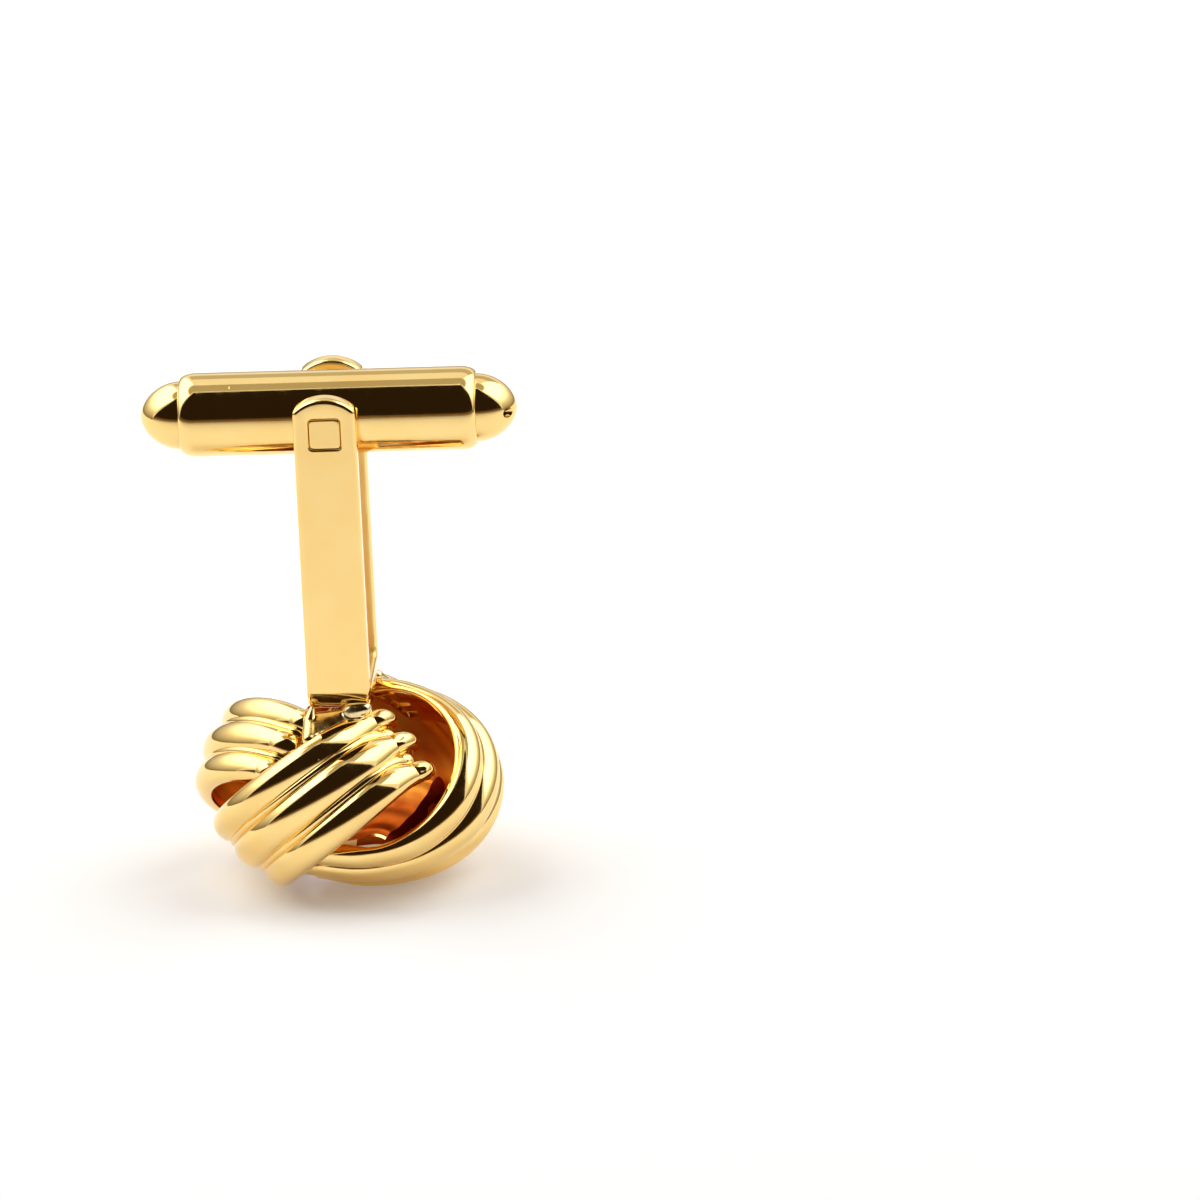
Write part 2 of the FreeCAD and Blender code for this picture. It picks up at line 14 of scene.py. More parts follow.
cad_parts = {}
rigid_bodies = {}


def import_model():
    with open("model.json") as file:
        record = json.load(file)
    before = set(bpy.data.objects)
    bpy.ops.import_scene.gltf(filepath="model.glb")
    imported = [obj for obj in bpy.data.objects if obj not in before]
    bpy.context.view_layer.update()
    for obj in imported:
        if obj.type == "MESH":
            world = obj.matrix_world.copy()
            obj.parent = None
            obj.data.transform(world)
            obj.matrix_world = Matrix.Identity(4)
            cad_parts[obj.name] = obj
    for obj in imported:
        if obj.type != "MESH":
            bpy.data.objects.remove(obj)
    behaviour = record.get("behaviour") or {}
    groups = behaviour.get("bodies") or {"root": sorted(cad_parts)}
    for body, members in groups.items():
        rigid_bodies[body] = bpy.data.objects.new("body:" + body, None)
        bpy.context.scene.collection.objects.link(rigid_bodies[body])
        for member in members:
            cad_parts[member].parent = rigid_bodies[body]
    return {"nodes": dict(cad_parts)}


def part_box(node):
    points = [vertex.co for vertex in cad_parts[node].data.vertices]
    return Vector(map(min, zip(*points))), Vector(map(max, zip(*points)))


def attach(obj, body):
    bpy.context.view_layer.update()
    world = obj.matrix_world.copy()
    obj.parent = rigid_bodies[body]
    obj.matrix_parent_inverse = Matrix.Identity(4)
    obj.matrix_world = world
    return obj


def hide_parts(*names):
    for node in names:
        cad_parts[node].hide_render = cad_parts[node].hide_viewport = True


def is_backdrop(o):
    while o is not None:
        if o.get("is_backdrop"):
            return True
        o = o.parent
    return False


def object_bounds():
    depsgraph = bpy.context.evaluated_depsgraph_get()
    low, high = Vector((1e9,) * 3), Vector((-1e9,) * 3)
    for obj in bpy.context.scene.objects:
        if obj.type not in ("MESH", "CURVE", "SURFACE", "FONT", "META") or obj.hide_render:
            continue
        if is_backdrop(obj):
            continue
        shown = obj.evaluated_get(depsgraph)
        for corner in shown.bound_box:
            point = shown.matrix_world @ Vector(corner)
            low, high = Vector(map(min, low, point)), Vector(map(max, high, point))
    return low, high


for leftover in list(bpy.data.objects):
    bpy.data.objects.remove(leftover)
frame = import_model()
cad_low, cad_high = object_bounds()
MM = 0.001
print("nodes", sorted(frame["nodes"]))
print("CAD box in mm", [round(side / MM, 2) for side in cad_high - cad_low])

# %% [markdown]
# The camera stands a metre away with a long lens, as for a small thing on a table.
# The knot's middle is kept at one place of the picture, and the camera leans a little, as the cufflink does.
# Leaning the whole camera is simpler than leaning the part, which has to stay upright in its frame.

# %% Camera
PICTURE = 1200
PIXELS_PER_MM = 20.9
KNOT_PIXEL = (348.8, 780.0)
KNOT_WAIST = 4.4241 * MM
CAMERA_DISTANCE, NEAR_CLIP, FAR_CLIP = 1000 * MM, 10 * MM, 10000 * MM
SENSOR_WIDTH = 36
AZIMUTH, ELEVATION, ROLL = math.radians(4.7), math.radians(20), math.radians(3.1)

knot_middle = Vector((0, 0, KNOT_WAIST))
knot_right, knot_down = KNOT_PIXEL
half_picture = PICTURE / 2
pixel = MM / PIXELS_PER_MM
to_knot = Vector(((knot_right - half_picture) * pixel, (half_picture - knot_down) * pixel, -CAMERA_DISTANCE))
lean = to_knot.rotation_difference(Vector((0, 0, -1))).to_matrix()
facing = Matrix.Rotation(AZIMUTH, 3, "Z") @ Matrix.Rotation(math.pi / 2 - ELEVATION, 3, "X")
turn = facing @ Matrix.Rotation(-ROLL, 3, "Z") @ lean

camera = bpy.data.objects.new("camera", bpy.data.cameras.new("camera"))
bpy.context.scene.collection.objects.link(camera)
camera.matrix_world = Matrix.Translation(knot_middle - turn @ to_knot) @ turn.to_4x4()
camera.data.sensor_width = SENSOR_WIDTH
camera.data.lens = camera.data.sensor_width * CAMERA_DISTANCE / (PICTURE * pixel)
camera.data.clip_start, camera.data.clip_end = NEAR_CLIP, FAR_CLIP
bpy.context.scene.camera = camera
print("lens", round(camera.data.lens), "mm, the knot's middle at pixel", KNOT_PIXEL)

# %% [markdown]
# The floor is a sheet of white paper. Its colour would come out a little grey, so it glows slightly for the
# rays that the camera and the polished metal see. The lit part still carries the shadow.

# %% Floor and world
FLOOR_SIDE, FLOOR_CELLS = 4000 * MM, 8
FLOOR_COLOUR = (0.9, 0.895, 0.885, 1)
FLOOR_GLOW = 0.16


def new_material(name):
    """An empty node material with its output node."""
    material = bpy.data.materials.new(name)
    material.use_nodes = True
    material.node_tree.nodes.clear()
    output = material.node_tree.nodes.new("ShaderNodeOutputMaterial")
    return material, material.node_tree, output


def ramp(tree, value, low, high, low_result, high_result):
    """A value mapped from one range to another, clamped."""
    node = tree.nodes.new("ShaderNodeMapRange")
    node.inputs["From Min"].default_value = low
    node.inputs["From Max"].default_value = high
    node.inputs["To Min"].default_value = low_result
    node.inputs["To Max"].default_value = high_result
    tree.links.new(value, node.inputs["Value"])
    return node.outputs["Result"]


def seen_rays(tree):
    """One for the rays that show a background: from the camera, from a mirror or through glass."""
    path = tree.nodes.new("ShaderNodeLightPath")
    shiny = tree.nodes.new("ShaderNodeMath")
    shiny.operation = "MAXIMUM"
    tree.links.new(path.outputs["Is Camera Ray"], shiny.inputs[0])
    tree.links.new(path.outputs["Is Glossy Ray"], shiny.inputs[1])
    clear = tree.nodes.new("ShaderNodeMath")
    clear.operation = "MAXIMUM"
    tree.links.new(shiny.outputs[0], clear.inputs[0])
    tree.links.new(path.outputs["Is Transmission Ray"], clear.inputs[1])
    return clear.outputs[0]


paper, tree, output = new_material("white_paper")
matt = tree.nodes.new("ShaderNodeBsdfDiffuse")
matt.inputs["Color"].default_value = FLOOR_COLOUR
glow = tree.nodes.new("ShaderNodeEmission")
glow_level = tree.nodes.new("ShaderNodeMath")
glow_level.operation = "MULTIPLY"
glow_level.inputs[1].default_value = FLOOR_GLOW
tree.links.new(seen_rays(tree), glow_level.inputs[0])
tree.links.new(glow_level.outputs[0], glow.inputs["Strength"])
both = tree.nodes.new("ShaderNodeAddShader")
tree.links.new(matt.outputs[0], both.inputs[0])
tree.links.new(glow.outputs[0], both.inputs[1])
tree.links.new(both.outputs[0], output.inputs["Surface"])


def new_object(name, mesh, *materials):
    """An object at the origin for a mesh made in place."""
    thing = bpy.data.objects.new(name, mesh)
    bpy.context.scene.collection.objects.link(thing)
    for material in materials:
        mesh.materials.append(material)
    return thing


def mesh_from(bm, name):
    """A mesh from a bmesh, which is freed."""
    mesh = bpy.data.meshes.new(name)
    bm.to_mesh(mesh)
    bm.free()
    return mesh


bm = bmesh.new()
bmesh.ops.create_grid(bm, x_segments=FLOOR_CELLS, y_segments=FLOOR_CELLS, size=FLOOR_SIDE / 2)
floor = new_object("floor", mesh_from(bm, "floor"), paper)
floor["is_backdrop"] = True

WORLD_SEEN = 1.0
WORLD_FILL = 0.22
FILL_COLOUR = (1.0, 0.90, 0.85, 1)
world = bpy.data.worlds.new("studio")
bpy.context.scene.world = world
world.use_nodes = True
tree = world.node_tree
tree.nodes.clear()
fill = tree.nodes.new("ShaderNodeBackground")
fill.inputs["Strength"].default_value = WORLD_FILL
seen = tree.nodes.new("ShaderNodeBackground")
seen.inputs["Strength"].default_value = WORLD_SEEN
fill.inputs["Color"].default_value = FILL_COLOUR
seen.inputs["Color"].default_value = (1, 1, 1, 1)
choice = tree.nodes.new("ShaderNodeMixShader")
output = tree.nodes.new("ShaderNodeOutputWorld")
tree.links.new(seen_rays(tree), choice.inputs[0])
tree.links.new(fill.outputs[0], choice.inputs[1])
tree.links.new(seen.outputs[0], choice.inputs[2])
tree.links.new(choice.outputs[0], output.inputs["Surface"])
bpy.context.scene.view_settings.view_transform = "Standard"
print("floor", FLOOR_SIDE, "m wide, world", WORLD_SEEN, "seen,", WORLD_FILL, "fill")

# %% [markdown]
# A mirror needs something dark to show, or gold looks like cream. In the studio two large softboxes stand
# left and right, the room on the camera's side is dark, and the ceiling and the back are dim. A low wall
# stands for the end of the table: dark at its foot, and lighter upwards. The softboxes fade in above it,
# which keeps the edges soft. Apart from that wall, each is a patch of a large ball round the cufflink, which
# is simpler to place than real furniture. Only mirror rays see the dim patches, so they put no shade on the
# paper. The softboxes also light it.

# %% Mirrored room
ROOM_MIDDLE = Vector((0, 0, 23 * MM))
ROOM_RADIUS = 250 * MM
PATCH_COLUMNS, PATCH_ROWS = 48, 16
WALL_RADIUS, WALL_HEIGHT, WALL_FROM, WALL_TO, WALL_STEPS = 230 * MM, 80 * MM, 76, 280, 48
DARK, DUSK = (0.022, 0.013, 0.006), (0.30, 0.20, 0.11)
DIM = (0.50, 0.46, 0.36)
BACK = (0.60, 0.57, 0.48)
SHADE = (0.20, 0.17, 0.11)
PALE = (0.95, 0.93, 0.86)
BRIGHT = (2.8, 2.8, 2.8)
DIM_PATCHES = {
    "dark_front": ((-3, -80, 75), (84, -38, 45), (DUSK, DARK), 6),
    "ceiling": ((71, 58, 308), (90, 58, 308), (DIM, DIM), 90),
    "back_wall": ((24, 150, 195), (46, 150, 195), (BACK, BACK), 46),
}
SOFTBOXES = {
    "softbox_left": ((14, -160, -79), (68, -160, -53), (PALE, BRIGHT), 36),
    "softbox_right": ((14, 76, 148), (68, 58, 148), (PALE, BRIGHT), 36),
}


def finish_patch(bm, name, colours, heights, lights_paper):
    """A glowing stage piece that no camera sees. It goes from one colour to another between two heights."""
    material, tree, output = new_material(name)
    split = tree.nodes.new("ShaderNodeSeparateXYZ")
    tree.links.new(tree.nodes.new("ShaderNodeTexCoord").outputs["Object"], split.inputs[0])
    shade = tree.nodes.new("ShaderNodeMix")
    shade.data_type = "RGBA"
    shade.inputs["A"].default_value = (*colours[0], 1)
    shade.inputs["B"].default_value = (*colours[1], 1)
    tree.links.new(ramp(tree, split.outputs["Z"], *heights, 0, 1), shade.inputs["Factor"])
    glow = tree.nodes.new("ShaderNodeEmission")
    tree.links.new(shade.outputs["Result"], glow.inputs["Color"])
    tree.links.new(glow.outputs[0], output.inputs["Surface"])
    patch = new_object(name, mesh_from(bm, name), material)
    patch.visible_camera = False
    for ray in ("diffuse", "transmission", "volume_scatter", "shadow"):
        setattr(patch, "visible_" + ray, lights_paper)
    patch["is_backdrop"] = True


def make_patch(name, low, high, colours, fade_until, lights_paper):
    """A patch of the ball between two level lines, each an elevation and the azimuths of its ends.
    Its colour changes from the lower line up to an elevation."""
    bm = bmesh.new()
    bmesh.ops.create_grid(bm, x_segments=PATCH_COLUMNS, y_segments=PATCH_ROWS, size=0.5)
    for vert in bm.verts:
        across, up = vert.co.x + 0.5, vert.co.y + 0.5
        elevation, left, right = (start + (end - start) * up for start, end in zip(low, high))
        way = Matrix.Rotation(math.radians(left + (right - left) * across), 3, "Z")
        way @= Matrix.Rotation(-math.radians(elevation), 3, "X")
        vert.co = ROOM_MIDDLE + way @ Vector((0, -ROOM_RADIUS, 0))
    heights = [ROOM_MIDDLE.z + ROOM_RADIUS * math.sin(math.radians(level)) for level in (low[0], fade_until)]
    finish_patch(bm, name, colours, heights, lights_paper)


for name, settings in DIM_PATCHES.items():
    make_patch(name, *settings, False)
for name, settings in SOFTBOXES.items():
    make_patch(name, *settings, True)
bm = bmesh.new()
foot = Matrix.Rotation(math.radians(WALL_FROM), 3, "Z") @ Vector((0, -WALL_RADIUS, 0))
ends = [bm.verts.new(foot), bm.verts.new(foot + Vector((0, 0, WALL_HEIGHT)))]
side = bm.edges.new(ends)
bmesh.ops.spin(bm, geom=ends + [side], cent=(0, 0, 0), axis=(0, 0, 1),
               angle=math.radians(WALL_TO - WALL_FROM), steps=WALL_STEPS)
finish_patch(bm, "table_end", (SHADE, PALE), (0, WALL_HEIGHT), False)
print("patches", [*DIM_PATCHES, *SOFTBOXES, "table_end"])

# %% [markdown]
# All visible metal is one gold plate, but no two polished surfaces are quite the same. Noise of three sizes
# lets the colour and the roughness vary and gives the ripple that the buffing wheel leaves, and a sparse cell
# pattern makes the odd pit. On turned work the cells are stretched round the axis, so that the pits become
# short scratches. In the knot's hollow the gold is red, partly a redder plating and partly painted shade for
# light bounced about inside, and deeper down a painted shade turns it deep red. All of it reads Object
# coordinates, so the patterns stay on the metal.

# %% Gold
GOLD = (0.955, 0.69, 0.275, 1)
WARM_GOLD = (0.94, 0.64, 0.23, 1)
# The hollow's red is partly a plating colour and partly painted shade.
RED_GOLD = (0.78, 0.22, 0.022, 1)
ORANGE_GOLD = (0.90, 0.42, 0.06, 1)
# Painted shade deep in the knot's hollow.
DEPTH_SHADE_RED = (0.36, 0.07, 0.01, 1)
PALE_GOLD = (0.90, 0.75, 0.45, 1)
BRASS = (0.78, 0.60, 0.30, 1)
STEEL, STEEL_SHADE = (0.60, 0.60, 0.62, 1), (0.45, 0.44, 0.44, 1)


def noise(tree, coordinates, scale, detail):
    """A noise node on given coordinates."""
    node = tree.nodes.new("ShaderNodeTexNoise")
    node.inputs["Scale"].default_value = scale
    node.inputs["Detail"].default_value = detail
    tree.links.new(coordinates, node.inputs["Vector"])
    return node


TONE_SCALE, TONE_DETAIL, TONE_RANGE = 0.35 / MM, 3, (0.4, 0.75)
HAZE_SCALE, HAZE_DETAIL, HAZE_RANGE = 1.6 / MM, 5, (0.35, 0.7)
RIPPLE_SCALE, RIPPLE_DETAIL = 0.8 / MM, 2
PIT_CELLS, SCRATCH_CELLS = (1.1, 1.1, 1.1), (1.1, 0.3, 0.3)
PIT_DEPTH = 3


def make_gold(name, tones, smooth, rough, ripple, pit_share, cell_scale=PIT_CELLS):
    """Gold plate: two tones, a range of roughness, a ripple height in mm, and the pits' share and scale."""
    material, tree, output = new_material(name)
    metal = tree.nodes.new("ShaderNodeBsdfPrincipled")
    metal.inputs["Metallic"].default_value = 1.0
    place = tree.nodes.new("ShaderNodeTexCoord").outputs["Object"]
    patches = noise(tree, place, TONE_SCALE, TONE_DETAIL)
    tone = tree.nodes.new("ShaderNodeMix")
    tone.data_type = "RGBA"
    tone.inputs["A"].default_value, tone.inputs["B"].default_value = tones
    tree.links.new(ramp(tree, patches.outputs["Fac"], *TONE_RANGE, 0, 1), tone.inputs["Factor"])
    tree.links.new(tone.outputs["Result"], metal.inputs["Base Color"])
    haze = noise(tree, place, HAZE_SCALE, HAZE_DETAIL)
    tree.links.new(ramp(tree, haze.outputs["Fac"], *HAZE_RANGE, smooth, rough), metal.inputs["Roughness"])
    wave = noise(tree, place, RIPPLE_SCALE, RIPPLE_DETAIL)
    cells = tree.nodes.new("ShaderNodeTexVoronoi")
    cells.inputs["Scale"].default_value = 1 / MM
    stretch = tree.nodes.new("ShaderNodeVectorMath")
    stretch.operation = "MULTIPLY"
    stretch.inputs[1].default_value = cell_scale
    tree.links.new(place, stretch.inputs[0])
    tree.links.new(stretch.outputs[0], cells.inputs["Vector"])
    pits = ramp(tree, cells.outputs["Distance"], 0.0, pit_share, -PIT_DEPTH, 0)
    height = tree.nodes.new("ShaderNodeMath")
    height.operation = "ADD"
    tree.links.new(wave.outputs["Fac"], height.inputs[0])
    tree.links.new(pits, height.inputs[1])
    bump = tree.nodes.new("ShaderNodeBump")
    bump.inputs["Strength"].default_value = 1.0
    bump.inputs["Distance"].default_value = ripple * MM
    tree.links.new(height.outputs[0], bump.inputs["Height"])
    tree.links.new(bump.outputs["Normal"], metal.inputs["Normal"])
    tree.links.new(metal.outputs[0], output.inputs["Surface"])
    return material


# Heights over which the painted shade deep in the hollow fades into the gold.
DEPTH_SHADE_HEIGHTS = (2.0 * MM, 3.0 * MM)


def paint_depth_shade(material):
    """Paint shade on a gold: it turns deep red towards the knot's face, deep in the hollow, and its grazing
    edges are kept warm, not white.
    """
    tree = material.node_tree
    metal = next(node for node in tree.nodes if node.type == "BSDF_PRINCIPLED")
    plate = metal.inputs["Base Color"].links[0].from_socket
    split = tree.nodes.new("ShaderNodeSeparateXYZ")
    tree.links.new(tree.nodes.new("ShaderNodeTexCoord").outputs["Object"], split.inputs[0])
    depth = tree.nodes.new("ShaderNodeMix")
    depth.data_type = "RGBA"
    depth.inputs["A"].default_value = DEPTH_SHADE_RED
    tree.links.new(plate, depth.inputs["B"])
    tree.links.new(ramp(tree, split.outputs["Z"], *DEPTH_SHADE_HEIGHTS, 0, 1), depth.inputs["Factor"])
    tree.links.new(depth.outputs["Result"], metal.inputs["Base Color"])
    metal.inputs["Specular Tint"].default_value = ORANGE_GOLD


knot_gold = make_gold("knot_gold", (GOLD, WARM_GOLD), 0.05, 0.11, 0.006, 0.03)
# The red gold of the hollow is partly a redder plating and partly painted shade for the light bounced about
# inside it.
red_gold_and_shade = make_gold("red_gold_and_shade", (RED_GOLD, ORANGE_GOLD), 0.36, 0.48, 0.004, 0.03)
paint_depth_shade(red_gold_and_shade)
frame_gold = make_gold("frame_gold", (GOLD, WARM_GOLD), 0.09, 0.16, 0.004, 0.02)
satin_gold = make_gold("satin_gold", (GOLD, WARM_GOLD), 0.42, 0.55, 0.006, 0.03)
toggle_gold = make_gold("toggle_gold", (GOLD, WARM_GOLD), 0.05, 0.11, 0.004, 0.04, SCRATCH_CELLS)
solder_gold = make_gold("solder_gold", (GOLD, PALE_GOLD), 0.08, 0.30, 0.04, 0.03)
pin_gold = make_gold("pin_gold", (GOLD, WARM_GOLD), 0.12, 0.22, 0.006, 0.03)
plunger_brass = make_gold("plunger_brass", (BRASS, WARM_GOLD), 0.22, 0.34, 0.004, 0.04)
spring_steel = make_gold("spring_steel", (STEEL, STEEL_SHADE), 0.20, 0.32, 0.003, 0.03)
finishes = [knot_gold, red_gold_and_shade, frame_gold, satin_gold, toggle_gold, solder_gold, pin_gold, plunger_brass,
            spring_steel]
print("finishes", [material.name for material in finishes])

# %% [markdown]
# Each strip of the knot was pressed from sheet: three round ribs with a fine bead in each valley, and three
# shallow channels inside. It climbs over the ball's waist in a long S, tucks one end under a neighbour and
# curls in at the other. The same path formula as in the CAD source is used, and one outline is extruded along
# it many times, which keeps every rib a smooth line. On the strip in front the ribs end as three tapered
# finger tips.

# %% Strip path
KNOT_RADIUS, KNOT_HALF_HEIGHT = 6.17 * MM, 4.46 * MM
STRIP_WIDTH = 4.76 * MM
STRIP_SPAN, STRIP_RISE = math.radians(100.3), math.radians(52.5)
STRIP_WAVE = 0.13
LIFT_MIDDLE, TUCK_END = 0.73 * MM, 0.49 * MM
MARCH_STEPS = 12


def strip_base(along, across):
    """Point of a strip's base: an angle along it and a distance across it, towards its upper edge."""
    quarter = along / STRIP_SPAN * math.pi / 2
    latitude = STRIP_RISE * (math.sin(quarter) + STRIP_WAVE * math.sin(3 * quarter))
    slope = math.cos(quarter) + 3 * STRIP_WAVE * math.cos(3 * quarter)
    climb = STRIP_RISE / STRIP_SPAN * math.pi / 2 * slope
    lift = (LIFT_MIDDLE + TUCK_END) * math.cos(quarter) ** 2 - TUCK_END
    azimuth = along
    meridian = math.hypot(KNOT_RADIUS * math.sin(latitude), KNOT_HALF_HEIGHT * math.cos(latitude))
    heading = math.atan2(meridian * climb, KNOT_RADIUS * math.cos(latitude)) + math.pi / 2
    step = across / MARCH_STEPS
    for _ in range(MARCH_STEPS):
        meridian = math.hypot(KNOT_RADIUS * math.sin(latitude), KNOT_HALF_HEIGHT * math.cos(latitude))
        swerve = step * math.cos(heading) / (KNOT_RADIUS * math.cos(latitude))
        azimuth += swerve
        latitude += step * math.sin(heading) / meridian
        heading += swerve * math.sin(latitude)
    out = (KNOT_RADIUS + lift) * math.cos(latitude)
    up = (KNOT_HALF_HEIGHT + lift) * math.sin(latitude)
    return Vector((out * math.sin(azimuth), -out * math.cos(azimuth), up))


print("strip middle at", [round(v / MM, 2) for v in strip_base(0, 0)])

# %% Strip outline
RIBS = 3
RIB_HEIGHT, BEAD_WIDTH, BEAD_HEIGHT = 0.6 * MM, 0.28 * MM, 0.08 * MM
CHANNEL = 0.05 * MM
SHEET, LIP_DEPTH = 0.38 * MM, 0.18 * MM
CURL_ANGLE, CURL_FLAT = math.radians(78), 0.3
TIP_FLAT, TIP_NOTCH = 0.4, 1.2 * MM
RIB_POINTS, BEAD_POINTS, INNER_POINTS, LIP_POINTS = 28, 8, 36, 3
OUTER_POINTS = RIBS * RIB_POINTS + (RIBS - 1) * BEAD_POINTS + 1
OUTLINE_POINTS = OUTER_POINTS - 1 + INNER_POINTS + 2 * LIP_POINTS


def arc_through(first, crest, last, count):
    """Points on the circle through three points of a plane, from the first up to just before the last."""
    chord = last - first
    along = chord.normalized()
    rise = Vector((-along.y, along.x))
    peak = (crest - first).dot(rise)
    radius = (chord.length ** 2 / 4 + peak ** 2) / (2 * peak)
    middle = (first + last) / 2 + rise * (peak - radius)
    start = first - middle
    sweep = start.angle_signed(crest - middle) + (crest - middle).angle_signed(last - middle)
    points = []
    for index in range(count):
        points.append(middle + Matrix.Rotation(-sweep * index / count, 2) @ start)
    return points


def strip_outline(chord, bow, taper, valley_lift):
    """Outline of a section in its own plane: ribs and beads outside, lips and shallow channels inside.
    The taper is the share of its width that a rib has lost on its upper side, where the valley sinks too."""
    ring = (chord ** 2 + bow ** 2) / (2 * bow)
    half_turn = math.asin(chord / ring)
    bead_turn = BEAD_WIDTH / ring
    rib_turn = (2 * half_turn - (RIBS - 1) * bead_turn) / RIBS
    inner_turn = half_turn - SHEET / ring
    lost_turn = rib_turn * taper
    valley_lift -= TIP_NOTCH * taper

    def spot(angle, height):
        return Vector(((ring + height) * math.sin(angle), (ring + height) * math.cos(angle) - ring))

    points = []
    angle = -half_turn
    edge = spot(angle, -LIP_DEPTH)
    for rib in range(RIBS):
        crest = spot(angle + (rib_turn - lost_turn) / 2, RIB_HEIGHT * (1 - TIP_FLAT * taper))
        angle += rib_turn - lost_turn
        valley = spot(angle, valley_lift if rib < RIBS - 1 else -LIP_DEPTH)
        points += arc_through(edge, crest, valley, RIB_POINTS)
        edge = valley
        if rib < RIBS - 1:
            top = spot(angle + (lost_turn + bead_turn) / 2, valley_lift + BEAD_HEIGHT)
            angle += lost_turn + bead_turn
            valley = spot(angle, valley_lift)
            points += arc_through(edge, top, valley, BEAD_POINTS)
            edge = valley
    inner = [spot(inner_turn, -SHEET), spot(-inner_turn, -SHEET)]
    points += [edge.lerp(inner[0], index / LIP_POINTS) for index in range(LIP_POINTS)]
    for index in range(INNER_POINTS):
        share = index / INNER_POINTS
        channel = CHANNEL * math.sin(RIBS * math.pi * share) ** 2
        points.append(spot(inner_turn * (1 - 2 * share), channel - SHEET))
    points += [inner[1].lerp(points[0], index / LIP_POINTS) for index in range(LIP_POINTS)]
    return points


print("outline points", OUTLINE_POINTS)

# %% Strips
# For each strip: its number, its place round the knot, its reaches under the face and on the back, the radius
# of its curl, the height of its valleys, and whether its lips keep the polished gold instead of the painted
# shade.
STRIPS = {
    "strip_front": (1, -25.7, 106, 60.5, 0.8 * MM, 0.2 * MM, False),
    "strip_right": (2, 74.3, 106, 70, 0.75 * MM, 0.06 * MM, True),
    "strip_behind": (3, 161.3, 106, 22, 0.75 * MM, 0.2 * MM, False),
    "strip_left": (4, 244.3, 113, 70, 0.75 * MM, 0.2 * MM, False),
}
STRIP_STEPS, TIP_STEPS, CURL_STEPS = 110, 24, 28
TIP_PART = BRIGHT_PART = math.radians(8)
COVERED_POINTS, COVERED_UNTIL = 10, math.radians(-70)
TAPER, TAPER_PART, TAPER_AT_CURL = 0.42, math.radians(16), 0.65
DENT_CURL, DENT_HALF_LENGTH, DENT_HALF_WIDTH = math.radians(14), 0.42 * MM, 0.2 * MM
DENT_DEPTH, DENT_SLOPE = 0.06 * MM, 0.5
STRIP_CREASE = math.radians(35)


def strip_section(along, curl, taper, curl_radius, valley_lift):
    """Outline points of one section, placed in the knot."""
    low, high = strip_base(along, -STRIP_WIDTH / 2), strip_base(along, STRIP_WIDTH / 2)
    middle = strip_base(along, 0)
    across = (high - low).normalized()
    bow = middle - (low + high) / 2
    bow -= across * bow.dot(across)
    outward = bow.normalized()
    forward = across.cross(outward)
    swing = outward * math.cos(curl) + forward * math.sin(curl)
    flat = CURL_FLAT * curl / CURL_ANGLE
    outline = strip_outline((high - low).length / 2, bow.length * (1 - flat), taper, valley_lift)
    hub = middle - outward * curl_radius
    return [hub + across * spot.x + swing * (curl_radius + spot.y) for spot in outline]


def tip_taper(along, curl, back):
    """Share of its width that a rib has lost: slowly before the curl, and on to the tip."""
    share = TAPER_AT_CURL * max(1 - (back - along) / TAPER_PART, 0)
    share += (1 - TAPER_AT_CURL) * curl / CURL_ANGLE
    return TAPER * share ** 2


def press_tips(bm, rank, back, *form):
    """Press the long dent that closing a rib leaves on its crest, just before its tip."""
    section = strip_section(back, DENT_CURL, tip_taper(back, DENT_CURL, back), *form)
    behind = strip_section(back, 0, tip_taper(back, 0, back), *form)
    for rib in range(RIBS):
        crest = rib * (RIB_POINTS + BEAD_POINTS) + RIB_POINTS // 2
        dent = section[crest]
        across = (section[crest + RIB_POINTS // 2] - section[crest - RIB_POINTS // 2]).normalized()
        forward = (dent - behind[crest]).normalized()
        outward = forward.cross(across).normalized()
        for vert in bm.verts:
            offset = vert.co - dent
            ahead = offset.dot(forward) / DENT_HALF_LENGTH
            share = math.hypot(ahead, offset.dot(across) / DENT_HALF_WIDTH)
            if share < 1 and vert[rank] < OUTER_POINTS and offset.length < DENT_HALF_LENGTH:
                vert.co -= outward * DENT_DEPTH * (1 + DENT_SLOPE * ahead) * (1 - share ** 2) ** 2


def only_edges(geom):
    """The edges among the parts of a mesh."""
    return [part for part in geom if isinstance(part, bmesh.types.BMEdge)]


def only_verts(geom):
    """The vertices among the parts of a mesh."""
    return [part for part in geom if isinstance(part, bmesh.types.BMVert)]


def capped_ring(bm, spots, rank):
    """A closed ring of vertices that keep their rank, with a face over it. Gives its edges."""
    ring = []
    for index, spot in enumerate(spots):
        vert = bm.verts.new(spot)
        vert[rank] = index
        ring.append(vert)
    edges = [bm.edges.new((ring[index - 1], ring[index])) for index in range(len(ring))]
    bmesh.ops.contextual_create(bm, geom=edges)
    return edges


